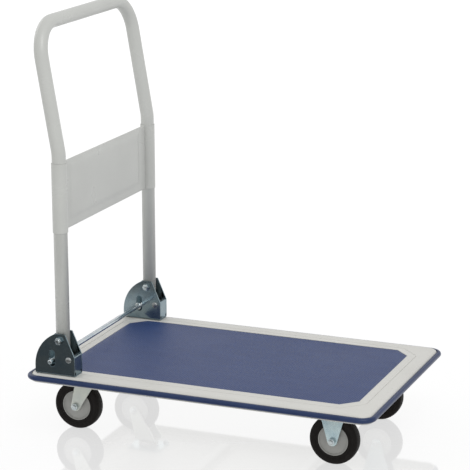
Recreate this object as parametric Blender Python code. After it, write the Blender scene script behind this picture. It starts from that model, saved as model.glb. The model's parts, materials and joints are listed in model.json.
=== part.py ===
"""Folding platform cart: pressed steel platform, fold-down handle, two swivel and two fixed casters.

X runs along the platform with the handle at -X, Y across it, Z up. The origin is on the ground,
below the middle of the platform. Units are metres.
"""

import math

import bmesh
import bpy
from mathutils import Matrix, Vector

# Clearances
TOUCH_GAP = 0.0003
RUNNING_GAP = 0.0004
HOLE_CLEARANCE = 0.0003
CUT_PAST = 0.010

# Platform
PLATFORM_LENGTH = 0.740
PLATFORM_WIDTH = 0.480
CORNER_RADIUS = 0.030
BUMPER_THICKNESS = 0.008
BUMPER_HEIGHT = 0.0105
BUMPER_DROP = 0.0035
SHEET = 0.0015
RIM_DEPTH = 0.0175
RIM_ROUND = 0.006
BORDER_END = 0.055
BORDER_SIDE = 0.0565
MAT_CHAMFER = 0.030
MAT_THICKNESS = 0.0018
RECESS_DEPTH = 0.0020
STIFFENER_INSET = 0.265
STIFFENER_WIDTH = 0.044
STIFFENER_CROWN = 0.020
STIFFENER_HEIGHT = 0.0125

# Wheels and casters
WHEEL_DIAMETER = 0.100
HUB_RADIUS = 0.0310
HUB_DISH = 0.0030
HUB_WALL = 0.0046
HUB_DRAFT = 0.0015
HUB_EDGE = 0.0012
TYRE_WIDTH = 0.026
TYRE_SHOULDER = 0.0055
TYRE_LIP = 0.004
SLEEVE_WALL = 0.0017
FORK_SIDE_GAP = 0.0025
FORK_SHEET = 0.0025
FORK_END_RADIUS = 0.0100
CROWN_ROUND = 0.006
CASTER_INSET = 0.101
FIXED_CASTER_INSET = 0.1083
SWIVEL_CASTER_INSET = 0.1025
TRAIL = 0.027
FIXED_LEG_HALF = 0.032
SWIVEL_LEG_HALF = 0.024
PLATE_HALF_X = 0.038
PLATE_HALF_Y = 0.032
PLATE_SHEET = 0.0025
BEARING_RADIUS = 0.0215
BEARING_BORE = 0.0145
BEARING_HEIGHT = 0.012
BEARING_EDGE = 0.001
KINGPIN_RADIUS = 0.006
KINGPIN_HEAD_RADIUS = 0.0095
KINGPIN_HEAD = 0.0025
WHEEL_TOP_GAP = 0.0161

# Handle, with heights above the platform
HANDLE_INSET_X = 0.078
HANDLE_INSET_Y = 0.0313
TUBE_DIAMETER = 0.028
TUBE_WALL = 0.0015
TUBE_FOOT = 0.0408
PIVOT_HEIGHT = 0.0735
KINK_HEIGHT = 0.452
KINK_ANGLE = math.radians(9.6)
KINK_RADIUS = 0.080
HANDLE_HEIGHT = 0.7155
HANDLE_BEND = 0.066
PANEL_HEIGHT = 0.1395
PANEL_BELOW_KINK = 0.0195
PANEL_SHEET = 0.0015
PANEL_HEM_RADIUS = 0.0024
PANEL_SLEEVE = 0.0012

# Handle brackets and lock bar
BRACKET_SHEET = 0.0025
BRACKET_SIDE_GAP = 0.001
BRACKET_FRONT = 0.0325
BRACKET_WEB_TOP = 0.041
BRACKET_HEAD = 0.0131
BRACKET_TOP_FRONT = 0.0125
BRACKET_TOP_REAR = -0.0083
BRACKET_ARC_RADIUS = 0.0755
BRACKET_ARC_X = 0.0203
PIN_RADIUS = 0.005
PIN_ABOVE_TUBE_END = 0.0018
PIN_HEAD_RADIUS = 0.0064
PIN_HEAD = 0.002
BAR_RADIUS = 0.0045
BAR_CLEARANCE = 0.0008
BAR_OVERHANG = 0.008
BAR_CHAMFER = 0.001
SLOT_WIDTH = 0.013
SLOT_BELOW_BAR = 0.011
SLOT_ABOVE_BAR = 0.023
SLOT_SIDE_PLAY = 0.0005
COLLAR_RADIUS = 0.0075
COLLAR_LENGTH = 0.004

# Fasteners, with the brackets' foot bolts as (distance from the handle, extra length)
BOLT_RADIUS = 0.004
BOLT_HEAD_FLATS = 0.013
BOLT_HEAD_HEIGHT = 0.0045
BOLT_CHAMFER = 0.0008
NUT_HEIGHT = 0.006
BOLT_END = 0.002
BRACKET_BOLTS = {"front": (-0.008, 0.0), "rear": (-0.044, 0.012)}

# Fineness of the curved faces
CORNER_STEPS = 6
WHEEL_STEPS = 32
HUB_STEPS = 24
TUBE_STEPS = 5
KINK_STEPS = 3
BEND_STEPS = 7
SLEEVE_STEPS = 28
BEARING_STEPS = 20
PIN_STEPS = 16
BOLT_STEPS = 12

# Plan, worked out from the platform's edges
DECK_HALF_LENGTH = PLATFORM_LENGTH / 2
DECK_HALF_WIDTH = PLATFORM_WIDTH / 2
PAN_HALF_LENGTH = DECK_HALF_LENGTH - BUMPER_THICKNESS - TOUCH_GAP
PAN_HALF_WIDTH = DECK_HALF_WIDTH - BUMPER_THICKNESS - TOUCH_GAP
PAN_CORNER = CORNER_RADIUS - BUMPER_THICKNESS - TOUCH_GAP
MAT_HALF_LENGTH = DECK_HALF_LENGTH - BORDER_END
MAT_HALF_WIDTH = DECK_HALF_WIDTH - BORDER_SIDE
STIFFENER_X = DECK_HALF_LENGTH - STIFFENER_INSET
CASTER_Y = DECK_HALF_WIDTH - CASTER_INSET
FIXED_CASTER_X = DECK_HALF_LENGTH - FIXED_CASTER_INSET
SWIVEL_CASTER_X = SWIVEL_CASTER_INSET - DECK_HALF_LENGTH
HANDLE_X = HANDLE_INSET_X - DECK_HALF_LENGTH
HANDLE_Y = DECK_HALF_WIDTH - HANDLE_INSET_Y

# Levels, worked out from the stack between the wheel and the platform
WHEEL_RADIUS = WHEEL_DIAMETER / 2
CROWN_BOTTOM = WHEEL_DIAMETER + WHEEL_TOP_GAP
CROWN_TOP = CROWN_BOTTOM + FORK_SHEET
BEARING_BOTTOM = CROWN_TOP + TOUCH_GAP
BEARING_TOP = BEARING_BOTTOM + BEARING_HEIGHT
PLATE_BOTTOM = BEARING_TOP + TOUCH_GAP
PLATE_TOP = PLATE_BOTTOM + PLATE_SHEET
PAN_UNDERSIDE = PLATE_TOP + TOUCH_GAP
DECK_TOP = PAN_UNDERSIDE + SHEET + RECESS_DEPTH

# Fits of the wheels, worked out from the axle bolt and the tyre
SLEEVE_RADIUS = BOLT_RADIUS + TOUCH_GAP + SLEEVE_WALL
HUB_BORE = SLEEVE_RADIUS + RUNNING_GAP
HUB_BARREL_RADIUS = HUB_BORE + HUB_WALL
FORK_GAP = TYRE_WIDTH + 2 * FORK_SIDE_GAP

# Places in a bracket, as distances from the handle's foot and heights above the platform
TUBE_RADIUS = TUBE_DIAMETER / 2
TUBE_END_HEIGHT = PIVOT_HEIGHT - TUBE_FOOT
PANEL_TOP = KINK_HEIGHT - PANEL_BELOW_KINK
PANEL_BOTTOM = PANEL_TOP - PANEL_HEIGHT
BRACKET_INSIDE = TUBE_RADIUS + BRACKET_SIDE_GAP
BRACKET_HALF = BRACKET_INSIDE + BRACKET_SHEET
BRACKET_TOP = PIVOT_HEIGHT + BRACKET_HEAD
PIN_X = TUBE_RADIUS + RUNNING_GAP + PIN_RADIUS
PIN_HEIGHT = TUBE_END_HEIGHT + PIN_ABOVE_TUBE_END
BAR_X = -(TUBE_RADIUS + RUNNING_GAP + BAR_RADIUS)
BAR_REACH = math.hypot(TUBE_FOOT, TUBE_RADIUS) + BAR_CLEARANCE + BAR_RADIUS
BAR_HEIGHT = PIVOT_HEIGHT - math.sqrt(BAR_REACH ** 2 - BAR_X ** 2)
BAR_HALF_LENGTH = HANDLE_Y + BRACKET_HALF + BAR_OVERHANG
SLOT_X = BAR_X - BAR_RADIUS - SLOT_SIDE_PLAY + SLOT_WIDTH / 2
SLOT_BOTTOM = BAR_HEIGHT - SLOT_BELOW_BAR
SLOT_TOP = BAR_HEIGHT + SLOT_ABOVE_BAR
BRACKET_BASE = DECK_TOP + TOUCH_GAP

SIDES = {"left": 1, "right": -1}


def clear_scene():
    for obj in list(bpy.data.objects):
        bpy.data.objects.remove(obj, do_unlink=True)


def material(name, colour, roughness, metallic):
    mat = bpy.data.materials.new(name)
    mat.use_nodes = True
    shader = mat.node_tree.nodes["Principled BSDF"]
    shader.inputs["Base Color"].default_value = (*colour, 1.0)
    shader.inputs["Roughness"].default_value = roughness
    shader.inputs["Metallic"].default_value = metallic
    mat.diffuse_color = (*colour, 1.0)
    return mat


def make_materials():
    return {
        "white_paint": material("white_paint", (0.62, 0.62, 0.59), 0.35, 0.0),
        "handle_paint": material("handle_paint", (0.50, 0.51, 0.49), 0.32, 0.0),
        "blue_mat": material("blue_mat", (0.11, 0.12, 0.20), 0.6, 0.0),
        "blue_rubber": material("blue_rubber", (0.03, 0.05, 0.12), 0.45, 0.0),
        "zinc": material("zinc", (0.55, 0.60, 0.62), 0.25, 1.0),
        "rubber": material("rubber", (0.015, 0.013, 0.012), 0.6, 0.0),
        "hub_grey": material("hub_grey", (0.22, 0.22, 0.21), 0.5, 0.0),
        "steel": material("steel", (0.5, 0.5, 0.5), 0.35, 1.0),
    }


def finished(name, bm, mat, parent=None, smooth_angle=35):
    """Turns a bmesh in the parent's space into an object, shaded smooth below the given angle."""
    bmesh.ops.recalc_face_normals(bm, faces=bm.faces)
    mesh = bpy.data.meshes.new(name)
    bm.to_mesh(mesh)
    bm.free()
    mesh.shade_smooth()
    mesh.set_sharp_from_angle(angle=math.radians(smooth_angle))
    mesh.materials.append(mat)
    obj = bpy.data.objects.new(name, mesh)
    bpy.context.scene.collection.objects.link(obj)
    obj.parent = parent
    return obj


def pivot(name, place, parent=None):
    """An empty that stands on a joint's axis and carries the pieces that move with it."""
    empty = bpy.data.objects.new(name, None)
    empty.empty_display_size = 0.03
    bpy.context.scene.collection.objects.link(empty)
    empty.parent = parent
    empty.location = place
    return empty


def boolean(target, tool, operation):
    tool.hide_render = True
    tool.display_type = "WIRE"
    modifier = target.modifiers.new(tool.name, "BOOLEAN")
    modifier.operation = operation
    modifier.solver = "EXACT"
    modifier.object = tool


def ring_of_points(bm, points):
    return [bm.verts.new(point) for point in points]


def skin(bm, rings, close=False, open_start=False):
    """Joins rings of the same count with faces. Both ends are capped, unless the last ring meets the
    first or the start stays open."""
    count = len(rings[0])
    pairs = list(zip(rings, rings[1:]))
    if close:
        pairs.append((rings[-1], rings[0]))
    for first, second in pairs:
        for i in range(count):
            j = (i + 1) % count
            bm.faces.new((first[i], first[j], second[j], second[i]))
    if not close:
        bm.faces.new(rings[-1])
    if not close and not open_start:
        bm.faces.new(rings[0])


def turned(stations, steps, bored=False, axis="Z", flat_below=False):
    """A turned piece. A station is (distance along the axis, radius), or with a third value of True
    a hexagon with that radius to its flats. With flat_below, radii are to the middle of each facet,
    and one facet faces straight down."""
    bm = bmesh.new()
    rings = []
    for station in stations:
        along, radius = station[0], station[1]
        hexagon = len(station) > 2 and station[2]
        points = []
        for i in range(steps):
            angle = 2 * math.pi * (i + flat_below / 2) / steps
            reach = radius / math.cos(math.pi / steps) if flat_below else radius
            if hexagon:
                reach = radius / math.cos((angle + math.pi / 6) % (math.pi / 3) - math.pi / 6)
            points.append((reach * math.cos(angle), reach * math.sin(angle), along))
        rings.append(ring_of_points(bm, points))
    skin(bm, rings, close=bored)
    if axis == "Y":
        bm.transform(Matrix.Rotation(math.radians(-90), 4, "X"))
    return bm


def prism(outline, axis, low, high):
    """An outline extruded along Y from its (x, z) points, or along Z from its (x, y) points."""
    bm = bmesh.new()
    if axis == "Y":
        points = [(a, low, b) for a, b in outline]
        step = Vector((0, high - low, 0))
    else:
        points = [(a, b, low) for a, b in outline]
        step = Vector((0, 0, high - low))
    face = bm.faces.new([bm.verts.new(point) for point in points])
    grown = bmesh.ops.extrude_face_region(bm, geom=[face])
    moved = [item for item in grown["geom"] if isinstance(item, bmesh.types.BMVert)]
    bmesh.ops.translate(bm, vec=step, verts=moved)
    return bm


def box(low, high):
    return prism([(low[0], low[1]), (high[0], low[1]), (high[0], high[1]), (low[0], high[1])],
                 "Z", low[2], high[2])


def arc(centre, radius, start, end, steps):
    """Points on an arc, with the angles in degrees."""
    angles = [math.radians(start + (end - start) * i / steps) for i in range(steps + 1)]
    return [(centre[0] + radius * math.cos(a), centre[1] + radius * math.sin(a)) for a in angles]


def rounded_outline(half_length, half_width, radius):
    points = []
    for i, (sx, sy) in enumerate([(1, 1), (-1, 1), (-1, -1), (1, -1)]):
        centre = (sx * (half_length - radius), sy * (half_width - radius))
        points += arc(centre, radius, 90 * i, 90 * i + 90, CORNER_STEPS)
    return points


def chamfered_outline(half_length, half_width, chamfer):
    """The same number of points as a rounded outline, spread along straight chamfers."""
    points = []
    for sx, sy in [(1, 1), (-1, 1), (-1, -1), (1, -1)]:
        end = Vector((sx * half_length, sy * (half_width - chamfer)))
        side = Vector((sx * (half_length - chamfer), sy * half_width))
        first, last = (end, side) if sx * sy > 0 else (side, end)
        points += [tuple(first.lerp(last, i / CORNER_STEPS)) for i in range(CORNER_STEPS + 1)]
    return points


def at_height(outline, z):
    return [(x, y, z) for x, y in outline]


def hole(name, place, radius, length, axis):
    """A round cutter centred on a point."""
    bm = turned([(-length / 2, radius), (length / 2, radius)], BOLT_STEPS, axis=axis)
    bm.transform(Matrix.Translation(place))
    return finished(name, bm, None)


# Platform

def deck_pan(mats):
    """The pressed platform: a rounded rim, a flat border and a shallow octagonal seat for the mat."""
    bm = bmesh.new()
    rings = [ring_of_points(bm, at_height(
        rounded_outline(PAN_HALF_LENGTH, PAN_HALF_WIDTH, PAN_CORNER), DECK_TOP - RIM_DEPTH))]
    for inset, rise in arc((RIM_ROUND, -RIM_ROUND), RIM_ROUND, 180, 90, 3):
        outline = rounded_outline(PAN_HALF_LENGTH - inset, PAN_HALF_WIDTH - inset, PAN_CORNER - inset)
        rings.append(ring_of_points(bm, at_height(outline, DECK_TOP + rise)))
    for level in (0.0, -RECESS_DEPTH):
        outline = chamfered_outline(MAT_HALF_LENGTH + TOUCH_GAP, MAT_HALF_WIDTH + TOUCH_GAP, MAT_CHAMFER)
        rings.append(ring_of_points(bm, at_height(outline, DECK_TOP + level)))
    skin(bm, rings, open_start=True)
    pan = finished("deck_pan", bm, mats["white_paint"])
    shell = pan.modifiers.new("sheet", "SOLIDIFY")
    shell.thickness = SHEET
    shell.offset = -1
    shell.use_even_offset = True
    for side, sign in SIDES.items():
        for end, (offset, _) in BRACKET_BOLTS.items():
            place = (HANDLE_X + offset, sign * HANDLE_Y, DECK_TOP)
            tool = hole(f"pan_hole_{end}_{side}", place, BOLT_RADIUS + HOLE_CLEARANCE, 2 * CUT_PAST, "Z")
            boolean(pan, tool, "DIFFERENCE")
    return pan


def deck_mat(mats):
    outline = chamfered_outline(MAT_HALF_LENGTH, MAT_HALF_WIDTH, MAT_CHAMFER)
    bottom = DECK_TOP - RECESS_DEPTH + TOUCH_GAP
    bm = bmesh.new()
    rings = [ring_of_points(bm, at_height(outline, z)) for z in (bottom, bottom + MAT_THICKNESS)]
    skin(bm, rings)
    return finished("deck_mat", bm, mats["blue_mat"])


def edge_bumper(mats):
    """A D-shaped strip round the rim of the platform."""
    bm = bmesh.new()
    middle = DECK_TOP - BUMPER_DROP - BUMPER_HEIGHT / 2
    inner = TOUCH_GAP
    profile = [(inner, -BUMPER_HEIGHT / 2)]
    for out, up in arc((0, 0), 1, -75, 75, 5):
        profile.append((inner + BUMPER_THICKNESS * out, up * BUMPER_HEIGHT / 2))
    profile.append((inner, BUMPER_HEIGHT / 2))
    reach = max(out for out, _ in profile)
    rings = []
    for out, up in profile:
        out = inner + (out - inner) * BUMPER_THICKNESS / (reach - inner)
        outline = rounded_outline(PAN_HALF_LENGTH + out, PAN_HALF_WIDTH + out, PAN_CORNER + out)
        rings.append(ring_of_points(bm, at_height(outline, middle + up)))
    skin(bm, rings, close=True)
    return finished("edge_bumper", bm, mats["blue_rubber"])


def stiffener(name, x, mats):
    """A top-hat channel across the underside of the platform."""
    half, crown = STIFFENER_WIDTH / 2, STIFFENER_CROWN / 2
    top = PAN_UNDERSIDE - TOUCH_GAP
    low = top - STIFFENER_HEIGHT
    outline = [(-half, top), (-half, top - SHEET), (-crown - SHEET, top - SHEET), (-crown - SHEET, low),
               (crown + SHEET, low), (crown + SHEET, top - SHEET), (half, top - SHEET), (half, top),
               (crown, top), (crown, low + SHEET), (-crown, low + SHEET), (-crown, top)]
    reach = MAT_HALF_WIDTH - TOUCH_GAP
    bm = prism([(x + a, b) for a, b in outline], "Y", -reach, reach)
    return finished(name, bm, mats["white_paint"])


# Fasteners

def bolt(name, head_at, direction, grip, mats, parent=None, axis="Z", origin=(0, 0, 0)):
    """A hexagon bolt. Its head's seat is at head_at on the axis, and its shank runs in direction."""
    flats = BOLT_HEAD_FLATS / 2
    stations = [(head_at - direction * BOLT_HEAD_HEIGHT, flats * 0.9),
                (head_at - direction * BOLT_HEAD_HEIGHT * 0.75, flats, True),
                (head_at, flats, True),
                (head_at, BOLT_RADIUS),
                (head_at + direction * (grip - BOLT_CHAMFER), BOLT_RADIUS),
                (head_at + direction * grip, BOLT_RADIUS - BOLT_CHAMFER)]
    bm = turned(stations, BOLT_STEPS, axis=axis)
    bm.transform(Matrix.Translation(origin))
    return finished(name, bm, mats["zinc"], parent)


def nut(name, seat, direction, mats, parent=None, axis="Z", origin=(0, 0, 0)):
    """A hexagon nut that lies against its seat on the axis and reaches in direction."""
    flats = BOLT_HEAD_FLATS / 2
    bore = BOLT_RADIUS + TOUCH_GAP
    stations = [(seat, bore), (seat, flats, True),
                (seat + direction * NUT_HEIGHT * 0.8, flats, True),
                (seat + direction * NUT_HEIGHT, flats * 0.9),
                (seat + direction * NUT_HEIGHT, bore)]
    bm = turned(stations, BOLT_STEPS, bored=True, axis=axis)
    bm.transform(Matrix.Translation(origin))
    return finished(name, bm, mats["zinc"], parent)


# Handle brackets and lock bar

def bracket_outline():
    """The side plate in X and Z, from the foot of the handle: a long rear arc and a sloping front."""
    start = math.degrees(math.acos((BRACKET_TOP_REAR - BRACKET_ARC_X) / BRACKET_ARC_RADIUS))
    centre_z = BRACKET_TOP - BRACKET_ARC_RADIUS * math.sin(math.radians(start))
    rear = arc((BRACKET_ARC_X, centre_z), BRACKET_ARC_RADIUS, start, 180, 9)
    foot = [(rear[-1][0], 0.0), (BRACKET_FRONT, 0.0), (BRACKET_FRONT, BRACKET_WEB_TOP)]
    return rear + foot + [(BRACKET_TOP_FRONT, BRACKET_TOP)]


def slot_outline():
    """The upright slot that the lock bar slides in."""
    radius = SLOT_WIDTH / 2
    return (arc((SLOT_X, SLOT_TOP - radius), radius, 0, 180, 6)
            + arc((SLOT_X, SLOT_BOTTOM + radius), radius, 180, 360, 6))


def handle_bracket(side, sign, mats):
    """A U of zinc sheet: two side plates, a foot on the platform and a web across the front."""
    outline = [(HANDLE_X + x, BRACKET_BASE + z) for x, z in bracket_outline()]
    centre = sign * HANDLE_Y
    bm = prism(outline, "Y", centre - BRACKET_HALF, centre + BRACKET_HALF)
    bracket = finished(f"handle_bracket_{side}", bm, mats["zinc"])
    rear = min(x for x, _ in outline) - CUT_PAST
    front = HANDLE_X + BRACKET_FRONT
    foot, web = BRACKET_BASE + BRACKET_SHEET, BRACKET_BASE + BRACKET_WEB_TOP
    top = BRACKET_BASE + BRACKET_TOP + CUT_PAST
    inside = [(rear, foot), (front - BRACKET_SHEET, foot), (front - BRACKET_SHEET, web),
              (front + CUT_PAST, web), (front + CUT_PAST, top), (rear, top)]
    bm = prism(inside, "Y", centre - BRACKET_INSIDE, centre + BRACKET_INSIDE)
    boolean(bracket, finished(f"bracket_inside_{side}", bm, None), "DIFFERENCE")
    slot = [(HANDLE_X + x, DECK_TOP + z) for x, z in slot_outline()]
    bm = prism(slot, "Y", centre - 2 * BRACKET_HALF, centre + 2 * BRACKET_HALF)
    boolean(bracket, finished(f"bracket_slot_{side}", bm, None), "DIFFERENCE")
    cuts = {"pivot": (0.0, PIVOT_HEIGHT, BOLT_RADIUS), "pin": (PIN_X, PIN_HEIGHT, PIN_RADIUS)}
    for name, (x, z, radius) in cuts.items():
        place = (HANDLE_X + x, centre, DECK_TOP + z)
        tool = hole(f"bracket_{name}_{side}", place, radius + HOLE_CLEARANCE, 4 * BRACKET_HALF, "Y")
        boolean(bracket, tool, "DIFFERENCE")
    for end, (offset, _) in BRACKET_BOLTS.items():
        place = (HANDLE_X + offset, centre, BRACKET_BASE)
        tool = hole(f"bracket_foot_{end}_{side}", place, BOLT_RADIUS + HOLE_CLEARANCE, CUT_PAST, "Z")
        boolean(bracket, tool, "DIFFERENCE")


def bracket_fasteners(side, sign, mats):
    centre = sign * HANDLE_Y
    inner, outer = centre - sign * BRACKET_HALF, centre + sign * BRACKET_HALF
    axis_place = (HANDLE_X, 0, DECK_TOP + PIVOT_HEIGHT)
    grip = 2 * BRACKET_HALF + 2 * TOUCH_GAP + NUT_HEIGHT + BOLT_END
    bolt(f"pivot_bolt_{side}", inner - sign * TOUCH_GAP, sign, grip, mats, axis="Y", origin=axis_place)
    nut(f"pivot_nut_{side}", outer + sign * TOUCH_GAP, sign, mats, axis="Y", origin=axis_place)
    near, far = BRACKET_HALF + TOUCH_GAP, BRACKET_HALF + TOUCH_GAP + PIN_HEAD
    stations = [(-far, PIN_HEAD_RADIUS * 0.6), (-far + PIN_HEAD / 2, PIN_HEAD_RADIUS),
                (-near, PIN_HEAD_RADIUS), (-near, PIN_RADIUS), (near, PIN_RADIUS),
                (near, PIN_HEAD_RADIUS), (far - PIN_HEAD / 2, PIN_HEAD_RADIUS), (far, PIN_HEAD_RADIUS * 0.6)]
    bm = turned(stations, BOLT_STEPS, axis="Y")
    bm.transform(Matrix.Translation((HANDLE_X + PIN_X, centre, DECK_TOP + PIN_HEIGHT)))
    finished(f"stop_pin_{side}", bm, mats["zinc"])
    for end, (offset, extra) in BRACKET_BOLTS.items():
        place = (HANDLE_X + offset, centre, 0)
        seat = BRACKET_BASE + BRACKET_SHEET + TOUCH_GAP
        nut_seat = DECK_TOP - SHEET - TOUCH_GAP
        grip = seat - nut_seat + NUT_HEIGHT + BOLT_END + extra
        bolt(f"bracket_bolt_{end}_{side}", seat, -1, grip, mats, origin=place)
        nut(f"bracket_nut_{end}_{side}", nut_seat, -1, mats, origin=place)


def lock_bar(mats):
    """The round bar behind the feet of the handle, with a collar inside each bracket."""
    carrier = pivot("lock_bar_slide", (HANDLE_X + BAR_X, 0, DECK_TOP + BAR_HEIGHT))
    end = BAR_HALF_LENGTH
    bm = turned([(-end, BAR_RADIUS - BAR_CHAMFER), (-end + BAR_CHAMFER, BAR_RADIUS),
                 (end - BAR_CHAMFER, BAR_RADIUS), (end, BAR_RADIUS - BAR_CHAMFER)], BOLT_STEPS, axis="Y")
    finished("lock_bar", bm, mats["zinc"], carrier)
    bore = BAR_RADIUS + TOUCH_GAP
    for side, sign in SIDES.items():
        outer = sign * (HANDLE_Y - BRACKET_HALF - RUNNING_GAP)
        inner = outer - sign * COLLAR_LENGTH
        bm = turned([(inner, bore), (inner, COLLAR_RADIUS), (outer, COLLAR_RADIUS), (outer, bore)],
                    BOLT_STEPS, bored=True, axis="Y")
        finished(f"bar_collar_{side}", bm, mats["zinc"], carrier)


# Handle

def handle_path():
    """Half of the handle's centre line, from a foot to the middle of the grip, as seen from the pivot."""
    up = Vector((0, 0, 1))
    lean = Vector((-math.sin(KINK_ANGLE), 0, math.cos(KINK_ANGLE)))
    kink = Vector((0, HANDLE_Y, KINK_HEIGHT - PIVOT_HEIGHT))
    tangent = KINK_RADIUS * math.tan(KINK_ANGLE / 2)
    points = [Vector((0, HANDLE_Y, TUBE_END_HEIGHT - PIVOT_HEIGHT))]
    centre = kink - up * tangent - Vector((KINK_RADIUS, 0, 0))
    for i in range(KINK_STEPS + 1):
        angle = KINK_ANGLE * i / KINK_STEPS
        points.append(centre + Vector((KINK_RADIUS * math.cos(angle), 0, KINK_RADIUS * math.sin(angle))))
    rise = HANDLE_HEIGHT - TUBE_RADIUS - KINK_HEIGHT
    top = kink + lean * (rise / math.cos(KINK_ANGLE))
    for i in range(BEND_STEPS + 1):
        angle = math.radians(90) * i / BEND_STEPS
        sideways = HANDLE_BEND * (1 - math.cos(angle))
        points.append(top - lean * HANDLE_BEND * (1 - math.sin(angle)) - Vector((0, sideways, 0)))
    return points


def handle_tube(carrier, mats):
    """One bent tube: two uprights, a slight backward kink and the grip across the top."""
    half = handle_path()
    path = half + [Vector((p.x, -p.y, p.z)) for p in reversed(half)]
    curve = bpy.data.curves.new("handle_tube", "CURVE")
    curve.dimensions = "3D"
    curve.bevel_depth = TUBE_RADIUS
    curve.bevel_resolution = TUBE_STEPS
    curve.use_fill_caps = False
    curve.materials.append(mats["handle_paint"])
    spline = curve.splines.new("POLY")
    spline.points.add(len(path) - 1)
    for point, place in zip(spline.points, path):
        point.co = (*place, 1.0)
        point.radius = 1.0
    spline.use_smooth = True
    rod = bpy.data.objects.new("handle_tube_curve", curve)
    bpy.context.scene.collection.objects.link(rod)
    mesh = bpy.data.meshes.new_from_object(rod.evaluated_get(bpy.context.evaluated_depsgraph_get()))
    bpy.data.objects.remove(rod, do_unlink=True)
    bm = bmesh.new()
    bm.from_mesh(mesh)
    bpy.data.meshes.remove(mesh)
    tube = finished("handle_tube", bm, mats["handle_paint"], carrier)
    wall = tube.modifiers.new("wall", "SOLIDIFY")
    wall.thickness = TUBE_WALL
    wall.offset = -1
    for side, sign in SIDES.items():
        place = (0, sign * HANDLE_Y, 0)
        tool = hole(f"tube_hole_{side}", place, BOLT_RADIUS + RUNNING_GAP, 2 * TUBE_DIAMETER, "Y")
        tool.parent = carrier
        boolean(tube, tool, "DIFFERENCE")


def handle_panel(carrier, mats):
    """A steel panel between the uprights, with rolled hems and a sleeve round each upright."""
    low, high = PANEL_BOTTOM - PIVOT_HEIGHT, PANEL_TOP - PIVOT_HEIGHT
    half = PANEL_SHEET / 2
    bm = box((-half, -HANDLE_Y, low), (half, HANDLE_Y, high))
    panel = finished("handle_panel", bm, mats["handle_paint"], carrier)
    bore = TUBE_RADIUS + TOUCH_GAP
    for name, z in (("low", low + PANEL_HEM_RADIUS), ("high", high - PANEL_HEM_RADIUS)):
        bm = turned([(-HANDLE_Y, PANEL_HEM_RADIUS), (HANDLE_Y, PANEL_HEM_RADIUS)], BOLT_STEPS, axis="Y")
        bm.transform(Matrix.Translation((0, 0, z)))
        boolean(panel, finished(f"panel_hem_{name}", bm, None, carrier), "UNION")
    for side, sign in SIDES.items():
        bm = turned([(low, bore + PANEL_SLEEVE), (high, bore + PANEL_SLEEVE)], SLEEVE_STEPS)
        bm.transform(Matrix.Translation((0, sign * HANDLE_Y, 0)))
        boolean(panel, finished(f"panel_sleeve_{side}", bm, None, carrier), "UNION")
    for side, sign in SIDES.items():
        bm = turned([(low - CUT_PAST, bore), (high + CUT_PAST, bore)], SLEEVE_STEPS)
        bm.transform(Matrix.Translation((0, sign * HANDLE_Y, 0)))
        boolean(panel, finished(f"panel_bore_{side}", bm, None, carrier), "DIFFERENCE")


# Casters

def leg_outline(axle_x, top, half):
    """A fork leg in X and Z: straight sides that close on the round end below the axle."""
    tangents = []
    for x, turn in ((half, 1), (-half, -1)):
        to_top = Vector((x - axle_x, top - WHEEL_RADIUS))
        angle = math.atan2(to_top.y, to_top.x) - turn * math.acos(FORK_END_RADIUS / to_top.length)
        tangents.append(math.degrees(angle))
    front, rear = tangents
    rear = rear - 360 if rear > 0 else rear
    return [(-half, top), (half, top)] + arc((axle_x, WHEEL_RADIUS), FORK_END_RADIUS, front, rear, 8)


def crown_outline(half):
    """The crown of a swivel fork in X and Y, wide enough to reach both legs."""
    side = FORK_GAP / 2 + FORK_SHEET
    points = []
    for i, (sx, sy) in enumerate([(1, 1), (-1, 1), (-1, -1), (1, -1)]):
        centre = (sx * (half - CROWN_ROUND), sy * (side - CROWN_ROUND))
        points += arc(centre, CROWN_ROUND, 90 * i, 90 * i + 90, 3)
    return points


def fork(name, centre, bottom, top, half, axle_x, mats, parent=None, plate=False):
    """A fork pressed from sheet: a crown, or a mounting plate, over two legs that hold the axle."""
    if plate:
        bm = box((-PLATE_HALF_X, -PLATE_HALF_Y, bottom), (PLATE_HALF_X, PLATE_HALF_Y, top))
    else:
        bm = prism(crown_outline(half), "Z", bottom, top)
    bm.transform(Matrix.Translation(centre))
    body = finished(name, bm, mats["zinc"], parent)
    outline = leg_outline(axle_x, (bottom + top) / 2, half)
    inner, outer = FORK_GAP / 2, FORK_GAP / 2 + FORK_SHEET
    for side, sign in SIDES.items():
        bm = prism(outline, "Y", *sorted((sign * inner, sign * outer)))
        bm.transform(Matrix.Translation(centre))
        boolean(body, finished(f"{name}_leg_{side}", bm, None, parent), "UNION")
    place = (centre[0] + axle_x, centre[1], WHEEL_RADIUS)
    tool = hole(f"{name}_axle_hole", place, BOLT_RADIUS + HOLE_CLEARANCE, 2 * FORK_GAP, "Y")
    tool.parent = parent
    boolean(body, tool, "DIFFERENCE")
    return body


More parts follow.
